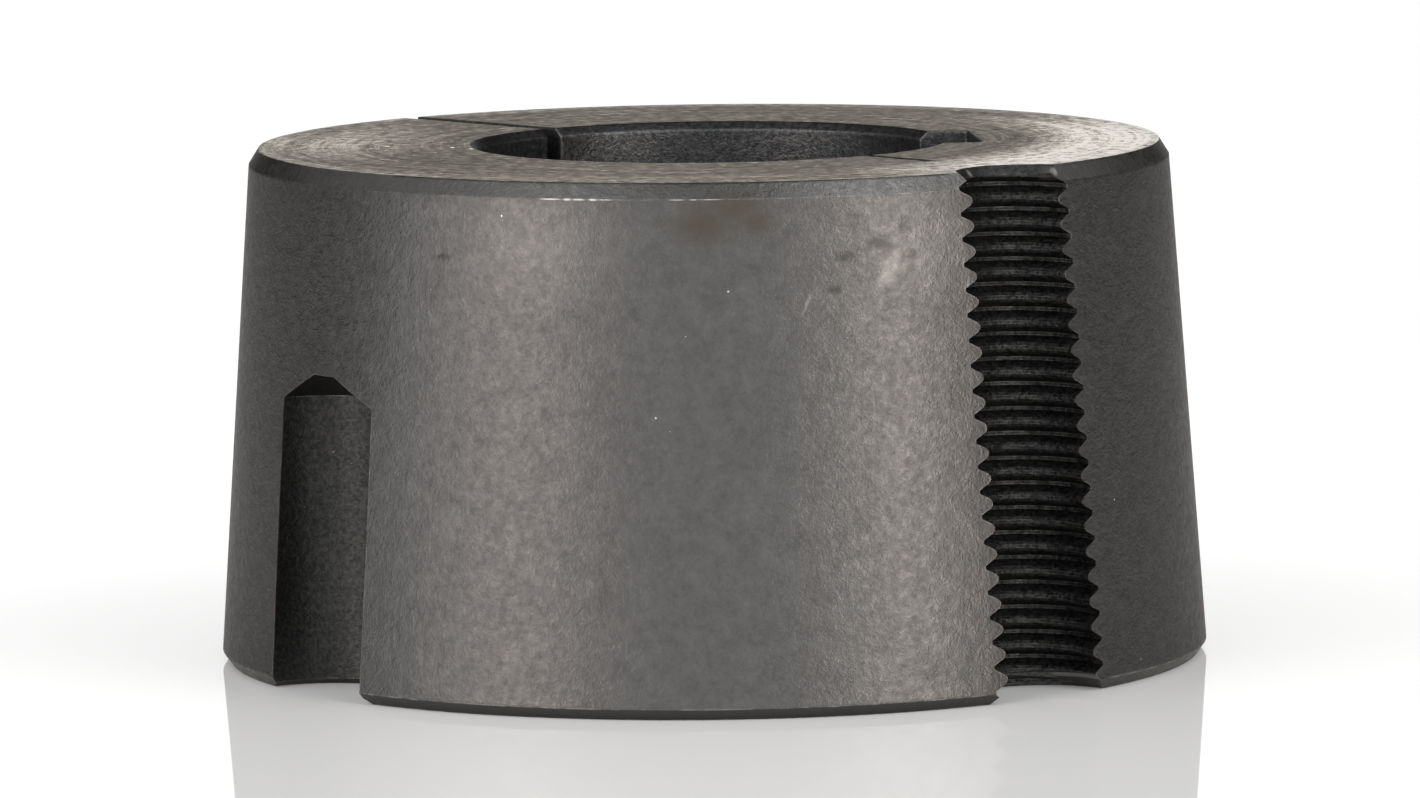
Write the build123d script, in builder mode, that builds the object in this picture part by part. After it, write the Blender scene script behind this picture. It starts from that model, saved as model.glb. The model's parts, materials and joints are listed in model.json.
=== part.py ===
"""Taper bush: a split, tapered ring that locks a pulley or sprocket hub onto a keyed shaft.

It is turned from one piece of iron. The outside is a cone that a matching hub pulls tight
around the shaft. Half of each screw hole is in the bush and the other half is in the hub, so
the bush shows three half-round notches: two plain blind ones that the clamping screws push
against, and one threaded right through, where a screw jacks the hub off again.

Origin: centre of the large end's face. +Z: along the bore, towards the small end.
+X: through the middle of the keyway. Lengths are in millimetres and angles in degrees.
"""
import os
from math import floor, radians, tan

from build123d import *

# Ring
length = 44.45
large_diameter = 85.725
taper_per_side = 4.0
large_end_chamfer_width = 0.75
large_end_chamfer_height = 0.95
small_end_chamfer_width = 0.75
small_end_chamfer_height = 1.35

# Bore and keyway
bore_diameter = 40.0
bore_chamfer = 0.7
keyway_width = 12.0
keyway_depth = 3.3
keyway_corner_radius = 0.4

# Screw holes: their axes lie on one circle and run along the bore
screw_circle_diameter = 82.55
jack_angle = -54.0
clamp_offset_angle = 94.0

# Plain blind holes for the clamping screws, drilled from the large end
clamp_hole_diameter = 13.0
clamp_hole_depth = 24.8
drill_point_angle = 130.0
drill_web_diameter = 2.9
clamp_mouth_width = 0.8
clamp_mouth_height = 0.5

# Threaded hole for the jacking screw: 1/2 inch, 12 threads to the inch, right-hand.
# It leans a little, clockwise round the ring towards the small end.
jack_lean = 1.4
thread_diameter = 12.7
thread_pitch = 25.4 / 12
thread_angle = 55.0
thread_root_width = 0.3
crest_slope_angle = 50.0
crest_slope_depth = 0.2
tapping_drill_diameter = 10.3
thread_phase_height = 0.6
large_end_countersink_diameter = 13.2
small_end_countersink_diameter = 11.9

# Saw cuts: the split across the ring, and the relief slit behind the threaded hole
split_angle = 127.9
split_width = 1.6
relief_width = 1.0
relief_depth = 8.7

# How far a cutter runs past the surface that it opens
overrun = 2.0

bore_radius = bore_diameter / 2
large_radius = large_diameter / 2
screw_circle_radius = screw_circle_diameter / 2
thread_radius = thread_diameter / 2
tapping_radius = tapping_drill_diameter / 2


def taper_radius(height):
    """Radius of the cone at a height above the large end."""
    return large_radius - height * tan(radians(taper_per_side))


# Cutter for one clamping screw's hole, on its own axis
clamp_radius = clamp_hole_diameter / 2
web_radius = drill_web_diameter / 2
drill_point_height = (clamp_radius - web_radius) / tan(radians(drill_point_angle / 2))
with BuildPart() as clamp_hole:
    with BuildSketch(Plane.XZ):
        with BuildLine():
            Polyline(
                (0, -overrun),
                (clamp_radius + clamp_mouth_width, -overrun),
                (clamp_radius + clamp_mouth_width, 0),
                (clamp_radius, clamp_mouth_height),
                (clamp_radius, clamp_hole_depth),
                (web_radius, clamp_hole_depth + drill_point_height),
                (0, clamp_hole_depth + drill_point_height),
                close=True,
            )
        make_face()
    revolve(axis=Axis.Z)

# Cutter for the jacking screw's hole before it is tapped, on its own axis, with a square
# (90 degree) countersink at each end
large_end_countersink_height = large_end_countersink_diameter / 2 - tapping_radius
small_end_countersink_height = small_end_countersink_diameter / 2 - tapping_radius
with BuildPart() as jack_hole:
    with BuildSketch(Plane.XZ):
        with BuildLine():
            Polyline(
                (0, -overrun),
                (large_end_countersink_diameter / 2 + overrun, -overrun),
                (tapping_radius, large_end_countersink_height),
                (tapping_radius, length - small_end_countersink_height),
                (small_end_countersink_diameter / 2 + overrun, length + overrun),
                (0, length + overrun),
                close=True,
            )
        make_face()
    revolve(axis=Axis.Z)

# Cutter for one turn of the thread groove: a helical arc on the side that the bush holds.
# It stops in the open air at each end, where the hub has the other half of the thread.
# Its flanks open out beside the crests, which are blunted.
groove_arc = 220.0
groove_flank = tan(radians(thread_angle / 2))
crest_flank = tan(radians(crest_slope_angle))
crest_radius = tapping_radius + crest_slope_depth
groove_inner_radius = tapping_radius - 0.1
groove_half_root = thread_root_width / 2
groove_half_crest = groove_half_root + (thread_radius - crest_radius) * groove_flank
groove_half_mouth = groove_half_crest + (crest_radius - groove_inner_radius) * crest_flank
groove_rise = thread_pitch * groove_arc / 360
with BuildPart() as thread_turn:
    with BuildLine() as turn_path:
        Helix(thread_pitch, groove_rise, thread_radius)
    with BuildSketch(Plane(turn_path.line @ 0, x_dir=(1, 0, 0), z_dir=turn_path.line % 0)):
        with BuildLine():
            Polyline(
                (groove_inner_radius - thread_radius, -groove_half_mouth),
                (crest_radius - thread_radius, -groove_half_crest),
                (0, -groove_half_root),
                (0, groove_half_root),
                (crest_radius - thread_radius, groove_half_crest),
                (groove_inner_radius - thread_radius, groove_half_mouth),
                close=True,
            )
        make_face()
    sweep(path=turn_path.line, is_frenet=True)

# The ring with its bore, turned
large_face_radius = large_radius - large_end_chamfer_width
small_face_radius = taper_radius(length) - small_end_chamfer_width
small_chamfer_start = length - small_end_chamfer_height
with BuildPart() as bush:
    with BuildSketch(Plane.XZ):
        with BuildLine():
            Polyline(
                (bore_radius + bore_chamfer, 0),
                (large_face_radius, 0),
                (taper_radius(large_end_chamfer_height), large_end_chamfer_height),
                (taper_radius(small_chamfer_start), small_chamfer_start),
                (small_face_radius, length),
                (bore_radius + bore_chamfer, length),
                (bore_radius, length - bore_chamfer),
                (bore_radius, bore_chamfer),
                close=True,
            )
        make_face()
    revolve(axis=Axis.Z)

    # Keyway, broached through
    keyway_floor = bore_radius + keyway_depth
    with BuildSketch() as keyway:
        with Locations((keyway_floor / 2, 0)):
            Rectangle(keyway_floor, keyway_width)
        fillet(keyway.vertices().group_by(Axis.X)[-1], keyway_corner_radius)
    extrude(amount=length, mode=Mode.SUBTRACT)

    # Clamping screws' holes, opposite each other
    with PolarLocations(screw_circle_radius, 2, start_angle=jack_angle - clamp_offset_angle):
        add(clamp_hole.part, mode=Mode.SUBTRACT)

    # Jacking screw's hole: its axis leans about the ring's radius. It is at its true radius
    # halfway up, and the plane has its origin where the axis leaves the large end.
    outwards = Vector(1, 0, 0).rotate(Axis.Z, jack_angle)
    jack_axis = Vector(0, 0, 1).rotate(Axis((0, 0, 0), outwards), jack_lean)
    jack_middle = outwards * screw_circle_radius + Vector(0, 0, length / 2)
    jack_foot = jack_middle - jack_axis * (length / 2 / jack_axis.Z)
    jack_plane = Plane(jack_foot, x_dir=outwards * -1, z_dir=jack_axis)
    with Locations(jack_plane):
        add(jack_hole.part, mode=Mode.SUBTRACT)

    # Split and relief slit
    with BuildSketch():
        with PolarLocations(large_radius / 2, 1, start_angle=split_angle):
            Rectangle(large_radius + overrun, split_width)
        with PolarLocations((bore_radius + relief_depth) / 2, 1, start_angle=jack_angle):
            Rectangle(bore_radius + relief_depth, relief_width)
    extrude(amount=length, mode=Mode.SUBTRACT)

    # Thread: the groove crosses the innermost line of the hole at thread_phase_height
    first_height = thread_phase_height - groove_rise / 2
    turns = floor(length / thread_pitch) + 2
    turn_heights = [first_height + thread_pitch * turn for turn in range(turns)]
    with Locations(jack_plane):
        with Locations(*[Location((0, 0, height), (0, 0, -groove_arc / 2)) for height in turn_heights]):
            add(thread_turn.part, mode=Mode.SUBTRACT)

bush.part.label = "taper_bush"

os.makedirs("parts", exist_ok=True)
export_step(bush.part, "parts/taper_bush.step")
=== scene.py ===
"""Looks of the taper bush: a dark phosphated iron ring on a glossy white table, in soft studio light."""
import json
import math

import bmesh
import bpy
from mathutils import Matrix, Vector

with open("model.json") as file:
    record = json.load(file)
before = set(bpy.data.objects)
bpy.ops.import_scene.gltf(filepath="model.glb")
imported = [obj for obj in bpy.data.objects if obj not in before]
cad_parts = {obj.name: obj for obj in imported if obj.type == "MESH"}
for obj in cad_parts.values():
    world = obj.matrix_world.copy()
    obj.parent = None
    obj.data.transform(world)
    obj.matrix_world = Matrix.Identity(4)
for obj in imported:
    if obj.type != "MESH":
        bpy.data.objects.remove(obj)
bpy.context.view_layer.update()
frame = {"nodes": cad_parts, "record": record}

bush = frame["nodes"]["taper_bush"]

# --- Sizes of the bush in millimetres, in its own frame
MM_PER_M = 1000
mounts = {mount["name"]: mount for mount in frame["record"]["mounts"]}
LENGTH = mounts["taper_seat"]["dims"]["length_mm"]
LARGE_RADIUS = mounts["taper_seat"]["dims"]["r_mm"]
JACK = mounts["jack_screw_half_hole"]
CLAMP = mounts["clamp_screw_half_hole_a"]
TAPER_SLOPE = math.tan(math.radians(4))
SMALL_CHAMFER_HEIGHT = 1.35
LARGE_CHAMFER_HEIGHT = 0.95
CHAMFER_LINE = LENGTH - SMALL_CHAMFER_HEIGHT

# --- Camera: a long lens, low and a little to the side of the keyway's square-on view
SENSOR_WIDTH = 36.0
LENS = 249.1
CAMERA_AZIMUTH = math.radians(-5.0)
CAMERA_DISTANCE = 0.84839
CAMERA_HEIGHT = 0.11848
CAMERA_PITCH = math.radians(-6.488)
CAMERA_YAW = math.radians(0.0100)
CAMERA_ROLL = math.radians(-0.699)


def linear(hex_colour):
    """An sRGB hex colour as a linear RGBA tuple."""
    channels = [int(hex_colour[i:i + 2], 16) / 255 for i in (1, 3, 5)]
    return (*[c / 12.92 if c <= 0.04045 else ((c + 0.055) / 1.055) ** 2.4 for c in channels], 1.0)


def add_node(tree, kind, links=None, **settings):
    """Adds a node. Settings are its properties, and links holds its inputs: values, nodes or outputs."""
    node = tree.nodes.new(kind)
    for name, value in settings.items():
        setattr(node, name, value)
    for name, value in (links or {}).items():
        socket = node.inputs[name] if isinstance(name, int) else enabled(node.inputs, name)
        if isinstance(value, bpy.types.Node):
            value = enabled(value.outputs)
        if isinstance(value, bpy.types.NodeSocket):
            tree.links.new(value, socket)
        else:
            socket.default_value = value
    return node


def enabled(sockets, name=None):
    """The first socket in use, or the first in use that has this name."""
    return next(s for s in sockets if s.enabled and name in (None, s.name))


def make_camera():
    data = bpy.data.cameras.new("camera")
    data.sensor_width = SENSOR_WIDTH
    data.lens = LENS
    data.clip_start = 0.05
    data.clip_end = 50
    camera = bpy.data.objects.new("camera", data)
    bpy.context.scene.collection.objects.link(camera)
    turn = Matrix.Rotation(CAMERA_AZIMUTH, 4, "Z")
    place = Matrix.Translation((0, -CAMERA_DISTANCE, CAMERA_HEIGHT))
    aim = Matrix.Rotation(CAMERA_YAW, 4, "Z") @ Matrix.Rotation(math.pi / 2 + CAMERA_PITCH, 4, "X")
    roll = Matrix.Rotation(CAMERA_ROLL, 4, "Z")
    camera.matrix_world = turn @ place @ aim @ roll
    bpy.context.scene.camera = camera


make_camera()


# --- Marks on the iron. Each has an angle, a radius and a height, half sizes inwards, around and up,
# and a lean, in millimetres and degrees
def on_taper(angle, height, inwards, around, up, lean=0):
    """A mark centred on the taper."""
    return angle, LARGE_RADIUS - height * TAPER_SLOPE, height, inwards, around, up, lean


def on_small_end(angle, radius, inwards, around, up):
    """A mark centred on the small end's face."""
    return angle, radius, LENGTH, inwards, around, up, 0


OIL_SPOTS = [
    on_taper(-95.8, 41.0, 2.5, 4.0, 2.7),
    on_taper(-92.0, 42.5, 2.5, 4.4, 2.6),
    on_taper(-89.5, 41.2, 2.5, 2.6, 1.8)]
SMUDGES = [
    on_taper(-78.8, 38.2, 1.5, 1.5, 0.7),
    on_taper(-74.5, 39.1, 1.5, 1.9, 0.9),
    on_taper(-70.4, 37.9, 1.5, 0.55, 1.0),
    on_taper(-71.4, 40.3, 1.5, 0.7, 1.4, lean=-25),
    on_taper(-80.3, 35.4, 1.5, 0.8, 0.5),
    on_taper(-128.8, 38.0, 1.5, 1.3, 0.45)]
SCUFFS = [
    on_taper(-73.3, 36.8, 1.5, 1.0, 2.7, lean=-32),
    on_taper(-83.6, 34.3, 1.5, 0.3, 1.6, lean=-20)]
# Lighter patches of the taper near the small end
LIGHTER_PATCHES = [
    on_taper(-115.0, 39.0, 4.0, 10.0, 6.5),
    on_taper(-68.5, 39.0, 4.0, 7.0, 6.5)]
# Small knocks on the taper; the bright spots in the threaded hole's countersink and on the small end's face
# are painted highlights
NICKS_AND_HIGHLIGHTS = [
    on_taper(-92.9, 35.5, 1.0, 0.12, 0.12),
    on_taper(-101.5, 25.1, 1.0, 0.12, 0.12),
    on_taper(-120.6, 41.6, 1.0, 0.1, 0.14),
    on_taper(-40.6, 15.8, 1.0, 0.12, 0.12),
    (-57.9, 36.1, 44.0, 0.7, 0.4, 0.5, 0),
    (-47.5, 39.3, 43.9, 0.6, 0.4, 0.55, 0),
    on_small_end(-182.9, 27.8, 0.3, 0.8, 1.0),
    on_small_end(-177.8, 22.3, 0.3, 0.8, 1.0),
    on_small_end(-173.3, 20.9, 0.3, 0.6, 1.0)]
# Painted highlights (glints) along the edge between the taper and the small end's chamfer, partly worn
# bright: angle, and half sizes around and up
GLINTS = [on_taper(angle, CHAMFER_LINE, 1.0, around, up) for angle, around, up in [
    (-114.3, 1.3, 0.09),
    (-112.2, 0.5, 0.14),
    (-110.8, 0.8, 0.11),
    (-109.0, 0.6, 0.13),
    (-107.5, 0.9, 0.06),
    (-98.9, 0.9, 0.06),
    (-96.9, 0.5, 0.06),
    (-94.9, 1.5, 0.045)]]
# Painted highlights on the far side of the small end's face, standing for the sheen of its turned rings
FAR_SHEEN_PATCHES = [
    on_small_end(-185.5, 34.0, 7.0, 10.0, 3.0),
    on_small_end(-192.0, 37.5, 3.5, 12.0, 3.0),
    on_small_end(-190.0, 32.0, 11.0, 26.0, 3.0)]

# --- Finishes of the iron
# The phosphate coat on the taper, and what handling left on it
THICK_COAT = linear("#555454")
OPEN_COAT = linear("#6d6c6b")
OIL_STAIN = linear("#58534c")
SMUDGE = linear("#464544")
SCUFFED_COAT = linear("#868583")
# How far a lighter patch goes towards the scuffed coat's colour
LIGHTENING = 0.28
# Turned end faces and chamfers
TURNED_DARK = linear("#55524e")
TURNED_LIGHT = linear("#7d7973")
# The next colour paints highlights on the end faces, standing for their sheen
FACE_SHEEN = linear("#d9d3ca")
# The next colour brightens the chamfers, partly rubbing and partly painted light; the one after is painted
# shade on the large end's chamfer
RUBBED_AND_LIT_CHAMFER = linear("#8f8e8b")
SHADED_CHAMFER = linear("#454443")
# How strong the end faces' painted highlights are at the front, the far side and the rim, the keyway's side
# being 1
FRONT_SHEEN = 0.2
FAR_SHEEN = 0.45
RIM_SHEEN = 0.3
# How far the chamfers are brightened all round, partly rubbed and partly painted light, and what the keyway's
# side adds as painted light
CHAMFER_RUB_AND_LIGHT = 0.12
KEY_SIDE_CHAMFER_LIGHT = 0.4
# Walls of the bore, keyway and slots, of the drilled holes, and of the thread: painted darker as painted
# shade in these recesses, the thread nearly black from oil and painted shade
SHADED_WALL_DARK = linear("#48494b")
SHADED_WALL_LIGHT = linear("#6b6c6d")
SHADED_DRILLED_DARK = linear("#2f2f2f")
SHADED_DRILLED_LIGHT = linear("#444443")
OIL_AND_SHADE_BLACK = linear("#131415")
OIL_AND_SHADE_GREY = linear("#373938")
# Bare iron on worn edges, and where it is knocked; the knocked colour also paints the glints and bright spots
# that are painted highlights
WORN_IRON = linear("#cccac6")
KNOCK_AND_GLINT_IRON = linear("#d8d6d2")
# The share of the wear that holes and slots keep off their edges
SHELTER = 0.7
# Cast of the light that skims the coat, the end faces and their painted highlights
COAT_CAST = linear("#f7f4f0")
FACE_CAST = linear("#f5ead9")
SHEEN_CAST = linear("#fcf8f2")
# How metallic, and how rough
COATED_METAL = 0.95
OILED_METAL = 0.75
SHEEN_ROUGHNESS = 0.15
DRILLED_ROUGHNESS = 0.45
THREAD_ROUGHNESS = 0.48

# --- Sizes of the iron's patterns, in millimetres
CRYSTAL_CLOUD = 2.0
POLISH_CLOUD = 0.7
FLAKE_SPACING = 0.45
RAGGED_OUTLINE = 0.8
RING_SPACING = 0.7
GRAIN_SPACING = 0.3
SMEAR = 1.2
WALL_SPECKLE = 0.4
WORN_STRETCH = 1.5
# How often a turned ring and its grain change along each radian
RING_CHANGES = 1.6
GRAIN_CHANGES = 30

# --- Rounding of edges, and depth of relief, in metres
WORN_EDGE = 0.00025
SOFT_EDGE = 0.0004
RELIEF_DEPTH = 0.00013
# The relief of the end faces' cut and of grit in the thread, the coat's being 1
CUT_RELIEF = 0.3
GRIT_RELIEF = 1.6

# --- How far past its radius a screw's hole marks the faces round it, and where that starts to fade,
# in millimetres
JACK_REACH = 0.9
JACK_FADE = 0.4
CLAMP_REACH = 1.2
CLAMP_FADE = 0.9


def bush_places(tree):
    """Sockets that say where a point of the bush is, in millimetres, and which of its faces it is on."""
    at = {}
    at["place"] = add_node(tree, "ShaderNodeVectorMath", {
        0: add_node(tree, "ShaderNodeTexCoord").outputs["Object"], "Scale": MM_PER_M}, operation="SCALE")
    parts = add_node(tree, "ShaderNodeSeparateXYZ", {0: at["place"]})
    at["height"] = parts.outputs["Z"]
    at["flat"] = add_node(tree, "ShaderNodeCombineXYZ", {"X": parts.outputs["X"], "Y": parts.outputs["Y"]})
    from_axis = add_node(tree, "ShaderNodeVectorMath", {0: at["flat"]}, operation="LENGTH")
    at["radius"] = from_axis.outputs["Value"]
    at["angle"] = add_node(tree, "ShaderNodeMath", {0: parts.outputs["Y"], 1: parts.outputs["X"]},
                           operation="ARCTAN2")
    at["geometry"] = add_node(tree, "ShaderNodeNewGeometry")
    upwards = add_node(tree, "ShaderNodeSeparateXYZ", {0: at["geometry"].outputs["True Normal"]})
    at["tilt"] = add_node(tree, "ShaderNodeMath", {0: upwards.outputs["Z"]}, operation="ABSOLUTE")

    # The flat end faces
    at["end_face"] = add_node(tree, "ShaderNodeMapRange", {
        "Value": at["tilt"], "From Min": 0.94, "From Max": 0.98}, interpolation_type="SMOOTHSTEP")
    # The chamfers at the two ends of the taper, which lie well out from the bore's
    middle = add_node(tree, "ShaderNodeMath", {0: at["height"], 1: LENGTH / 2}, operation="SUBTRACT")
    from_middle = add_node(tree, "ShaderNodeMath", {0: middle}, operation="ABSOLUTE")
    end_zone = LENGTH / 2 - SMALL_CHAMFER_HEIGHT
    at["near_end"] = add_node(tree, "ShaderNodeMapRange", {
        "Value": from_middle, "From Min": end_zone, "From Max": end_zone + 0.05})
    outer = add_node(tree, "ShaderNodeMapRange", {
        "Value": at["radius"], "From Min": LARGE_RADIUS - 5, "From Max": LARGE_RADIUS - 4.5})
    sloping = add_node(tree, "ShaderNodeMapRange", {"Value": at["tilt"], "From Min": 0.35, "From Max": 0.45})
    outer_end = add_node(tree, "ShaderNodeMath", {0: at["near_end"], 1: outer}, operation="MULTIPLY")
    at["chamfer"] = add_node(tree, "ShaderNodeMath", {0: outer_end, 1: sloping}, operation="MULTIPLY")
    # The walls of every hole and slot: all that lies inside the taper but the chamfers and end faces
    cone = add_node(tree, "ShaderNodeMath", {0: at["height"], 1: -TAPER_SLOPE, 2: LARGE_RADIUS},
                    operation="MULTIPLY_ADD")
    depth = add_node(tree, "ShaderNodeMath", {0: cone, 1: at["radius"]}, operation="SUBTRACT")
    inside = add_node(tree, "ShaderNodeMapRange", {"Value": depth, "From Min": 0.04, "From Max": 0.12})
    open_side = add_node(tree, "ShaderNodeMath", {0: 1.0, 1: inside}, operation="SUBTRACT")
    open_end = add_node(tree, "ShaderNodeMath", {0: at["end_face"], 1: at["chamfer"]}, operation="MAXIMUM")
    in_the_open = add_node(tree, "ShaderNodeMath", {0: open_end, 1: open_side}, operation="MAXIMUM",
                           use_clamp=True)
    at["wall"] = add_node(tree, "ShaderNodeMath", {0: 1.0, 1: in_the_open}, operation="SUBTRACT")
    return at


def hole_places(tree, at):
    """Adds sockets that say where the screws' half holes are, with a little of the faces round them."""
    # The threaded half hole, and the countersinks at its two ends, which slope at 45 degrees
    jack_foot = Vector(JACK["pos_m"]) * MM_PER_M
    from_foot = add_node(tree, "ShaderNodeVectorMath", {0: at["place"], 1: jack_foot}, operation="SUBTRACT")
    along = add_node(tree, "ShaderNodeVectorMath", {0: from_foot, 1: JACK["axis"]}, operation="PROJECT")
    jack_radius = add_node(tree, "ShaderNodeVectorMath", {0: from_foot, 1: along}, operation="DISTANCE")
    jack_r = JACK["dims"]["r_mm"]
    at["by_jack"] = add_node(tree, "ShaderNodeMapRange", {
        "Value": jack_radius.outputs["Value"], "From Min": jack_r + JACK_REACH,
        "From Max": jack_r + JACK_FADE})
    at["thread"] = add_node(tree, "ShaderNodeMath", {0: at["by_jack"], 1: at["wall"]}, operation="MULTIPLY")
    slanting = add_node(tree, "ShaderNodeMath", {0: at["tilt"], 1: 0.707, 2: 0.1}, operation="COMPARE")
    at["countersink"] = add_node(tree, "ShaderNodeMath", {0: slanting, 1: at["near_end"]},
                                 operation="MULTIPLY")

    # The two plain half holes, which mirror each other
    clamp_foot = Vector(CLAMP["pos_m"]) * MM_PER_M
    outwards = clamp_foot.normalized()
    sideways = outwards.cross(Vector((0, 0, 1)))
    out = add_node(tree, "ShaderNodeVectorMath", {0: at["flat"], 1: outwards}, operation="DOT_PRODUCT")
    folded = add_node(tree, "ShaderNodeMath", {0: out.outputs["Value"]}, operation="ABSOLUTE")
    radial = add_node(tree, "ShaderNodeMath", {0: folded, 1: clamp_foot.length}, operation="SUBTRACT")
    aside = add_node(tree, "ShaderNodeVectorMath", {0: at["flat"], 1: sideways}, operation="DOT_PRODUCT")
    across = add_node(tree, "ShaderNodeCombineXYZ", {"X": radial, "Y": aside.outputs["Value"]})
    clamp_radius = add_node(tree, "ShaderNodeVectorMath", {0: across}, operation="LENGTH")
    clamp_r = CLAMP["dims"]["r_mm"]
    at["by_clamp"] = add_node(tree, "ShaderNodeMapRange", {
        "Value": clamp_radius.outputs["Value"], "From Min": clamp_r + CLAMP_REACH,
        "From Max": clamp_r + CLAMP_FADE})
    at["drilled"] = add_node(tree, "ShaderNodeMath", {0: at["by_clamp"], 1: at["wall"]}, operation="MULTIPLY")
    at["by_holes"] = add_node(tree, "ShaderNodeMath", {0: at["by_jack"], 1: at["by_clamp"]},
                              operation="MAXIMUM")


def oval_marks(tree, place, marks, core=0.0):
    """1 inside small oval marks. The core is the share of a mark's size over which it has its full
    strength."""
    total = 0.0
    for angle, radius, height, inwards, around, up, lean in marks:
        turn = math.radians(angle)
        oval = add_node(tree, "ShaderNodeMapping", {
            "Vector": place, "Location": (radius * math.cos(turn), radius * math.sin(turn), height),
            "Rotation": (math.radians(lean), 0, turn), "Scale": (inwards, around, up)}, vector_type="TEXTURE")
        size = add_node(tree, "ShaderNodeVectorMath", {0: oval}, operation="LENGTH")
        mark = add_node(tree, "ShaderNodeMapRange", {
            "Value": size.outputs["Value"], "From Min": 1.0, "From Max": core},
            interpolation_type="SMOOTHSTEP")
        total = add_node(tree, "ShaderNodeMath", {0: total, 1: mark}, operation="MAXIMUM")
    return total


def turned_cut(tree, at):
    """The cut of the end faces: turned rings, drawn as coarse as a shallow view needs, the grain that
    breaks them up, and smears that handling left over them."""
    direction = add_node(tree, "ShaderNodeVectorMath", {0: at["flat"]}, operation="NORMALIZE")
    patterns = []
    for spacing, changes, roughness in [
            (RING_SPACING, RING_CHANGES, 0.8),
            (GRAIN_SPACING, GRAIN_CHANGES, 0.7)]:
        count = add_node(tree, "ShaderNodeMath", {0: at["radius"], 1: 1 / spacing}, operation="MULTIPLY")
        ring = add_node(tree, "ShaderNodeCombineXYZ", {"Z": count})
        ring_place = add_node(tree, "ShaderNodeVectorMath", {
            0: direction, 1: (changes, changes, changes), 2: ring}, operation="MULTIPLY_ADD")
        patterns.append(add_node(tree, "ShaderNodeTexNoise", {
            "Vector": ring_place, "Scale": 1.0, "Detail": 2.0, "Roughness": roughness}))
    rings, grain = patterns
    ring_cut = add_node(tree, "ShaderNodeMix", {"Factor": 0.5, "A": rings, "B": grain})
    smears = add_node(tree, "ShaderNodeTexNoise", {
        "Vector": at["place"], "Scale": 1 / SMEAR, "Detail": 3.0, "Roughness": 0.7})
    return add_node(tree, "ShaderNodeMix", {"Factor": 0.45, "A": ring_cut, "B": smears})


def sector(tree, at, middle, edge, core, strength=1.0):
    """A sector of the ring. From its middle's angle it keeps its strength as far as the core's angle,
    and fades to nothing at the edge's."""
    swing = add_node(tree, "ShaderNodeMath", {0: at["angle"], 1: math.radians(-middle)}, operation="ADD")
    aside = add_node(tree, "ShaderNodeMath", {0: swing}, operation="ABSOLUTE")
    return add_node(tree, "ShaderNodeMapRange", {
        "Value": aside, "From Min": math.radians(edge), "From Max": math.radians(core),
        "To Max": strength}, interpolation_type="SMOOTHSTEP")


def painted_face_sheen(tree, at, cut, key_side, far_sheen):
    """Painted highlights on the end faces, standing for the sheen of their turned rings: strongest at the
    keyway's side, less at the front, the far side and the rim. The cut breaks them into streaks."""
    key_ring = add_node(tree, "ShaderNodeMapRange", {"Value": at["radius"], "From Min": 27, "From Max": 33})
    key_sheen = add_node(tree, "ShaderNodeMath", {0: key_side, 1: key_ring}, operation="MULTIPLY")
    front_side = sector(tree, at, middle=-80, edge=60, core=30, strength=FRONT_SHEEN)
    front_ring = add_node(tree, "ShaderNodeMapRange", {"Value": at["radius"], "From Min": 30, "From Max": 36})
    front_sheen_part = add_node(tree, "ShaderNodeMath", {0: front_side, 1: front_ring}, operation="MULTIPLY")
    soft_far_sheen = add_node(tree, "ShaderNodeMath", {0: far_sheen, 1: FAR_SHEEN}, operation="MULTIPLY")
    rim_sheen_part = add_node(tree, "ShaderNodeMapRange", {
        "Value": at["radius"], "From Min": 35.5, "From Max": 38.8, "To Max": RIM_SHEEN})
    sheen = key_sheen
    for other in (front_sheen_part, soft_far_sheen, rim_sheen_part):
        sheen = add_node(tree, "ShaderNodeMath", {0: sheen, 1: other}, operation="MAXIMUM")
    streaks = add_node(tree, "ShaderNodeMapRange", {
        "Value": cut, "From Min": 0.4, "From Max": 0.6, "To Min": 0.4, "To Max": 1.4})
    return add_node(tree, "ShaderNodeMath", {0: sheen, 1: streaks}, operation="MULTIPLY", use_clamp=True)


def worn_edges(tree, at):
    """Wear on edges: where a small rounding would turn the normal away from the face's own. It is
    patchy, and fainter on the walls of holes and slots and round the screws' holes."""
    rounded = add_node(tree, "ShaderNodeBevel", {"Radius": WORN_EDGE}, samples=6)
    bent = add_node(tree, "ShaderNodeVectorMath", {0: rounded, 1: at["geometry"].outputs["Normal"]},
                    operation="DOT_PRODUCT")
    edge = add_node(tree, "ShaderNodeMapRange", {
        "Value": bent.outputs["Value"], "From Min": 0.995, "From Max": 0.9}, interpolation_type="SMOOTHSTEP")
    patchy = add_node(tree, "ShaderNodeTexNoise", {
        "Vector": at["place"], "Scale": 1 / WORN_STRETCH, "Detail": 3.0})
    breaks = add_node(tree, "ShaderNodeMapRange", {
        "Value": patchy, "From Min": 0.4, "From Max": 0.65, "To Min": 0.1, "To Max": 0.7},
        interpolation_type="SMOOTHSTEP")
    sheltered = add_node(tree, "ShaderNodeMath", {0: at["by_holes"], 1: at["wall"]}, operation="MAXIMUM")
    exposed = add_node(tree, "ShaderNodeMath", {0: sheltered, 1: -SHELTER, 2: 1.0},
                       operation="MULTIPLY_ADD")
    wear = add_node(tree, "ShaderNodeMath", {0: edge, 1: breaks}, operation="MULTIPLY")
    return add_node(tree, "ShaderNodeMath", {0: wear, 1: exposed}, operation="MULTIPLY")


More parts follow.
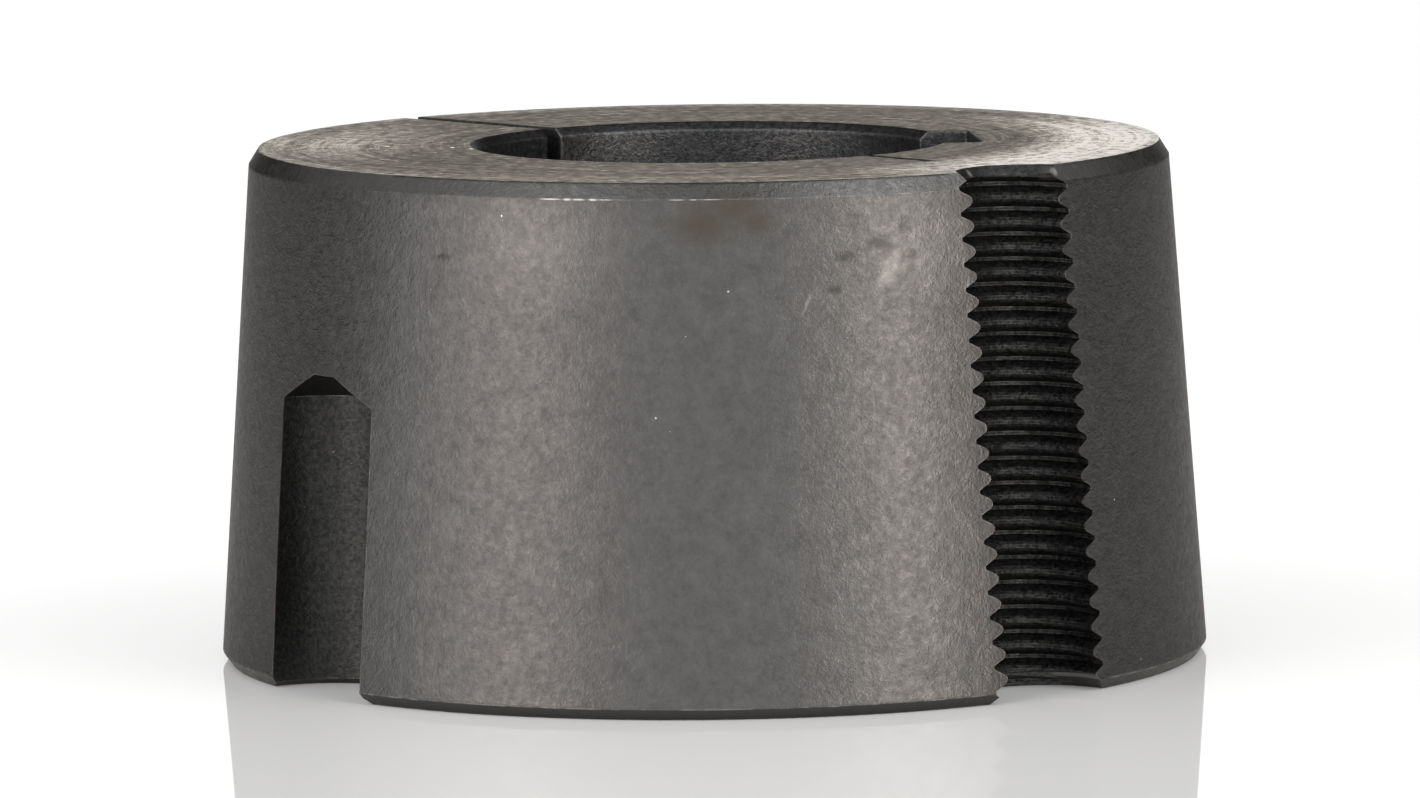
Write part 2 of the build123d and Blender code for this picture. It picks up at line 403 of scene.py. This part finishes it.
def phosphated_iron():
    """Turned and ground grey iron with a zinc phosphate coat.

    The coat's crystals mottle it dark grey. It is painted darker in the holes, as painted shade, and nearly
    black in the thread, from oil and painted shade. It is rubbed through to bright iron along edges, and the
    end faces carry painted highlights for their sheen.
    """
    material = bpy.data.materials.new("phosphated_iron")
    material.use_nodes = True
    tree = material.node_tree
    shader = tree.nodes["Principled BSDF"]
    at = bush_places(tree)
    hole_places(tree, at)
    place = at["place"]

    # Mottle of the phosphate. Its crystals are a few hundredths of a millimetre, too fine to see
    # here, but they grow in clouds from 0.2 to 2 mm across
    clouds = add_node(tree, "ShaderNodeTexNoise", {
        "Vector": place, "Scale": 1 / CRYSTAL_CLOUD, "Detail": 4.0, "Roughness": 0.95})
    mottle = add_node(tree, "ShaderNodeMapRange", {"Value": clouds, "From Min": 0.25, "From Max": 0.75})
    coat = add_node(tree, "ShaderNodeMix", {"Factor": mottle, "A": THICK_COAT, "B": OPEN_COAT},
                    data_type="RGBA")
    # Single bright grains where the coat has flaked
    grains = add_node(tree, "ShaderNodeTexNoise", {
        "Vector": place, "Scale": 1 / FLAKE_SPACING, "Detail": 1.0})
    flaked = add_node(tree, "ShaderNodeMapRange", {"Value": grains, "From Min": 0.82, "From Max": 0.86})

    # Marks from handling, with the painted highlights and lighter patches placed the same way. The soft ones
    # have ragged outlines
    ragged = add_node(tree, "ShaderNodeTexNoise", {
        "Vector": place, "Scale": 1 / RAGGED_OUTLINE, "Detail": 3.0})
    shift = add_node(tree, "ShaderNodeVectorMath", {0: ragged.outputs["Color"], 1: (0.5, 0.5, 0.5)},
                     operation="SUBTRACT")
    wander = add_node(tree, "ShaderNodeVectorMath", {0: shift, 1: (1.0, 1.0, 1.0), 2: place},
                      operation="MULTIPLY_ADD")
    oil_spots = oval_marks(tree, wander, OIL_SPOTS)
    smudges = oval_marks(tree, wander, SMUDGES)
    scuffs = oval_marks(tree, wander, SCUFFS)
    lighter_patches = oval_marks(tree, wander, LIGHTER_PATCHES)
    far_sheen = oval_marks(tree, wander, FAR_SHEEN_PATCHES)
    nicks_and_highlights = oval_marks(tree, place, NICKS_AND_HIGHLIGHTS, core=0.25)
    glints = oval_marks(tree, place, GLINTS, core=0.1)
    # Knocks, and the glints and bright spots painted as highlights
    knocks_and_glints = add_node(tree, "ShaderNodeMath", {0: glints, 1: nicks_and_highlights}, operation="MAXIMUM")
    lighter_coat = add_node(tree, "ShaderNodeMath", {0: lighter_patches, 1: LIGHTENING}, operation="MULTIPLY")

    # The end faces
    cut = turned_cut(tree, at)
    cut_tone = add_node(tree, "ShaderNodeMapRange", {"Value": cut, "From Min": 0.35, "From Max": 0.65})
    turned = add_node(tree, "ShaderNodeMix", {"Factor": cut_tone, "A": TURNED_DARK, "B": TURNED_LIGHT},
                      data_type="RGBA")
    key_side = sector(tree, at, middle=-20, edge=67, core=22)
    # Painted highlights on the end faces, standing for the sheen of their turned rings
    bright = painted_face_sheen(tree, at, cut, key_side, far_sheen)
    shiny = add_node(tree, "ShaderNodeMath", {0: bright, 1: nicks_and_highlights}, operation="MAXIMUM")
    bright_face = add_node(tree, "ShaderNodeMath", {0: shiny, 1: at["end_face"]}, operation="MULTIPLY")
    face = add_node(tree, "ShaderNodeMix", {"Factor": bright, "A": turned, "B": FACE_SHEEN},
                    data_type="RGBA")

    # The chamfers are brightened, partly thinly rubbed and partly painted light, more so by the keyway's
    # side, but the large end's is painted dark: painted shade where it faces down to the table
    chamfer_rub_and_light = add_node(tree, "ShaderNodeMath", {0: key_side, 1: KEY_SIDE_CHAMFER_LIGHT, 2: CHAMFER_RUB_AND_LIGHT},
                           operation="MULTIPLY_ADD")
    rubbed_and_lit_chamfer = add_node(tree, "ShaderNodeMath", {0: at["chamfer"], 1: chamfer_rub_and_light},
                              operation="MULTIPLY")
    low = add_node(tree, "ShaderNodeMath", {0: at["height"], 1: LARGE_CHAMFER_HEIGHT}, operation="LESS_THAN")
    low_chamfer = add_node(tree, "ShaderNodeMath", {0: low, 1: at["chamfer"]}, operation="MULTIPLY")

    # The coat is uneven in the bore, keyway and slots and a little darker there as painted shade, darker
    # again in the drilled holes as painted shade, and nearly black in the thread from oil and painted shade,
    # though not in its countersinks
    speckle = add_node(tree, "ShaderNodeTexNoise", {
        "Vector": place, "Scale": 1 / WALL_SPECKLE, "Detail": 2.0, "Roughness": 0.8})
    spread = add_node(tree, "ShaderNodeMapRange", {"Value": speckle, "From Min": 0.35, "From Max": 0.65})
    shaded_wall_coat = add_node(tree, "ShaderNodeMix", {"Factor": spread, "A": SHADED_WALL_DARK, "B": SHADED_WALL_LIGHT},
                         data_type="RGBA")
    shaded_drill_coat = add_node(tree, "ShaderNodeMix", {"Factor": spread, "A": SHADED_DRILLED_DARK, "B": SHADED_DRILLED_LIGHT},
                          data_type="RGBA")
    oil_breaks = add_node(tree, "ShaderNodeMapRange", {"Value": speckle, "From Min": 0.43, "From Max": 0.57})
    oily_shaded_coat = add_node(tree, "ShaderNodeMix", {"Factor": oil_breaks, "A": OIL_AND_SHADE_BLACK, "B": OIL_AND_SHADE_GREY},
                         data_type="RGBA")
    no_sink = add_node(tree, "ShaderNodeMath", {0: 1.0, 1: at["countersink"]}, operation="SUBTRACT")
    oily_and_shaded = add_node(tree, "ShaderNodeMath", {0: at["thread"], 1: no_sink}, operation="MULTIPLY")
    bare = add_node(tree, "ShaderNodeMath", {0: worn_edges(tree, at), 1: flaked}, operation="MAXIMUM")

    # Colour: each finish covers those before it, as far as its share goes
    colour = coat
    for share, finish in [
            (oil_spots, OIL_STAIN),
            (smudges, SMUDGE),
            (scuffs, SCUFFED_COAT),
            (lighter_coat, SCUFFED_COAT),
            (at["end_face"], face),
            (rubbed_and_lit_chamfer, RUBBED_AND_LIT_CHAMFER),
            (low_chamfer, SHADED_CHAMFER),
            (at["wall"], shaded_wall_coat),
            (at["drilled"], shaded_drill_coat),
            (oily_and_shaded, oily_shaded_coat),
            (bare, WORN_IRON),
            (knocks_and_glints, KNOCK_AND_GLINT_IRON)]:
        colour = add_node(tree, "ShaderNodeMix", {"Factor": share, "A": colour, "B": finish},
                          data_type="RGBA")
    tree.links.new(enabled(colour.outputs), shader.inputs["Base Color"])

    # Oil and dirt in the thread hide some of the metal
    metal = add_node(tree, "ShaderNodeMix", {"Factor": oily_and_shaded, "A": COATED_METAL, "B": OILED_METAL})
    tree.links.new(enabled(metal.outputs), shader.inputs["Metallic"])
    # Light that skims the end faces comes off them with a brownish cast
    cast = add_node(tree, "ShaderNodeMix", {"Factor": at["end_face"], "A": COAT_CAST, "B": FACE_CAST},
                    data_type="RGBA")
    clear_cast = add_node(tree, "ShaderNodeMix", {"Factor": bright_face, "A": cast, "B": SHEEN_CAST},
                          data_type="RGBA")
    tree.links.new(enabled(clear_cast.outputs), shader.inputs["Specular Tint"])

    # Polish: patchy on the coat and the cut, high where the end faces carry painted highlights, low in the
    # screws' holes
    crystals = add_node(tree, "ShaderNodeTexNoise", {
        "Vector": place, "Scale": 1 / POLISH_CLOUD, "Detail": 2.0, "Roughness": 0.7})
    polish = add_node(tree, "ShaderNodeMapRange", {
        "Value": crystals, "From Min": 0.3, "From Max": 0.7, "To Min": 0.49, "To Max": 0.31})
    cut_polish = add_node(tree, "ShaderNodeMapRange", {
        "Value": cut, "From Min": 0.35, "From Max": 0.65, "To Min": 0.51, "To Max": 0.23})
    for share, finish in [
            (at["end_face"], cut_polish),
            (bright_face, SHEEN_ROUGHNESS),
            (at["drilled"], DRILLED_ROUGHNESS),
            (at["thread"], THREAD_ROUGHNESS)]:
        polish = add_node(tree, "ShaderNodeMix", {"Factor": share, "A": polish, "B": finish})
    tree.links.new(enabled(polish.outputs), shader.inputs["Roughness"])

    # Fine relief: the clouds of crystals, the turned rings on the end faces, and grit in the thread
    shallow_cut = add_node(tree, "ShaderNodeMath", {0: cut, 1: CUT_RELIEF}, operation="MULTIPLY")
    grit = add_node(tree, "ShaderNodeMath", {0: speckle, 1: GRIT_RELIEF}, operation="MULTIPLY")
    open_relief = add_node(tree, "ShaderNodeMix", {"Factor": at["end_face"], "A": clouds, "B": shallow_cut})
    relief = add_node(tree, "ShaderNodeMix", {"Factor": oily_and_shaded, "A": open_relief, "B": grit})
    # Edges are a little rounded, but those round the screws' holes are left sharp
    softened = add_node(tree, "ShaderNodeBevel", {"Radius": SOFT_EDGE}, samples=6)
    edges = add_node(tree, "ShaderNodeMix", {
        "Factor": at["by_holes"], "A": softened, "B": at["geometry"].outputs["Normal"]}, data_type="VECTOR")
    bump = add_node(tree, "ShaderNodeBump", {
        "Strength": 0.7, "Distance": RELIEF_DEPTH, "Height": relief, "Normal": edges})
    tree.links.new(enabled(bump.outputs), shader.inputs["Normal"])
    return material


bush.data.materials.clear()
bush.data.materials.append(phosphated_iron())

# --- Stage: a glossy white table that runs out of view, and a white studio round it
WHITE = (1, 1, 1, 1)
TABLE_HALF_WIDTH = 6
TABLE_GLOW = 0.1


def white_acrylic():
    """Cast white acrylic sheet, polished: a soft white body under a clear reflection."""
    material = bpy.data.materials.new("white_acrylic")
    material.use_nodes = True
    tree = material.node_tree
    shader = tree.nodes["Principled BSDF"]
    shader.inputs["Base Color"].default_value = linear("#f4f4f4")
    shader.inputs["Roughness"].default_value = 0.035
    shader.inputs["IOR"].default_value = 1.49
    # Seen directly or mirrored it glows a little, so that it comes out white but keeps its shadow
    path = add_node(tree, "ShaderNodeLightPath")
    mirrored = add_node(tree, "ShaderNodeMath", {
        0: path.outputs["Is Glossy Ray"], 1: path.outputs["Is Transmission Ray"]}, operation="MAXIMUM")
    seen = add_node(tree, "ShaderNodeMath", {0: path.outputs["Is Camera Ray"], 1: mirrored},
                    operation="MAXIMUM")
    glow = add_node(tree, "ShaderNodeMath", {0: seen, 1: TABLE_GLOW}, operation="MULTIPLY")
    shader.inputs["Emission Color"].default_value = WHITE
    tree.links.new(enabled(glow.outputs), shader.inputs["Emission Strength"])
    return material


def make_table():
    mesh = bpy.data.meshes.new("table")
    bm = bmesh.new()
    bmesh.ops.create_grid(bm, x_segments=1, y_segments=1, size=TABLE_HALF_WIDTH)
    bm.to_mesh(mesh)
    bm.free()
    mesh.materials.append(white_acrylic())
    table = bpy.data.objects.new("table", mesh)
    bpy.context.scene.collection.objects.link(table)


make_table()


def make_world():
    """A white studio: seen directly it is white. Gloss finds a patch of white wall behind the bush, a
    nearly white wall in front and dark sides, and matt surfaces find more light in front than behind."""
    world = bpy.data.worlds.new("studio")
    bpy.context.scene.world = world
    world.use_nodes = True
    tree = world.node_tree
    background = tree.nodes["Background"]
    direction = add_node(tree, "ShaderNodeTexCoord").outputs["Generated"]
    turned = add_node(tree, "ShaderNodeVectorRotate", {"Vector": direction, "Angle": -CAMERA_AZIMUTH},
                      rotation_type="Z_AXIS")
    backwards = add_node(tree, "ShaderNodeSeparateXYZ", {0: turned}).outputs["Y"]
    wall_behind = add_node(tree, "ShaderNodeMapRange", {
        "Value": backwards, "From Min": 0.95, "From Max": 0.99}, interpolation_type="SMOOTHSTEP")
    wall_in_front = add_node(tree, "ShaderNodeMapRange", {
        "Value": backwards, "From Min": -0.3, "From Max": -0.9, "To Max": 0.97},
        interpolation_type="SMOOTHSTEP")
    gloss_light = add_node(tree, "ShaderNodeMath", {0: wall_behind, 1: wall_in_front}, operation="MAXIMUM")
    matt_light = add_node(tree, "ShaderNodeMapRange", {
        "Value": backwards, "From Min": 0.5, "From Max": -0.5, "To Min": 0.5, "To Max": 0.9},
        interpolation_type="SMOOTHSTEP")
    path = add_node(tree, "ShaderNodeLightPath")
    gloss = add_node(tree, "ShaderNodeMath", {
        0: path.outputs["Is Glossy Ray"], 1: path.outputs["Is Transmission Ray"]}, operation="MAXIMUM")
    lit = add_node(tree, "ShaderNodeMix", {"Factor": gloss, "A": matt_light, "B": gloss_light})
    seen = add_node(tree, "ShaderNodeMix", {"Factor": path.outputs["Is Camera Ray"], "A": lit, "B": 1.0})
    tree.links.new(enabled(seen.outputs), background.inputs["Strength"])
    background.inputs["Color"].default_value = WHITE


make_world()

# Softboxes: distance, width and height, in metres
TALL_BOX = (1.1, 0.42, 0.7)
WIDE_BOX = (1.2, 0.6, 0.5)


def softbox(name, box, azimuth, elevation, power, colour="#ffffff"):
    """An area lamp that faces the bush; azimuth goes to the right from the camera's side."""
    distance, width, height = box
    data = bpy.data.lights.new(name, "AREA")
    data.shape = "RECTANGLE"
    data.size = width
    data.size_y = height
    data.energy = power
    data.color = linear(colour)[:3]
    lamp = bpy.data.objects.new(name, data)
    lamp.visible_camera = False
    bpy.context.scene.collection.objects.link(lamp)
    a = math.radians(azimuth) + CAMERA_AZIMUTH
    e = math.radians(elevation)
    place = Vector((math.sin(a) * math.cos(e), -math.cos(a) * math.cos(e), math.sin(e))) * distance
    lamp.matrix_world = Matrix.Translation(place) @ place.to_track_quat("Z", "Y").to_matrix().to_4x4()


# Each lamp's place, in degrees to the right and up, its power in watts, and its colour
softbox("left_softbox", TALL_BOX, -46, 8, 2.75, "#fff1e8")
softbox("far_left_softbox", TALL_BOX, -70, 8, 1.5)
softbox("right_softbox", TALL_BOX, 46, 8, 3.9, "#fff4ea")
softbox("high_left_softbox", WIDE_BOX, -45, 50, 1.4)
softbox("high_right_softbox", WIDE_BOX, 50, 50, 2.35)
softbox("left_top_light", WIDE_BOX, -75, 45, 0.7)
softbox("right_top_light", WIDE_BOX, 75, 45, 0.5)
softbox("left_rear_light", WIDE_BOX, -110, 30, 0.5)
softbox("right_rear_light", WIDE_BOX, 110, 30, 0.3)

bpy.context.scene.view_settings.view_transform = "Standard"
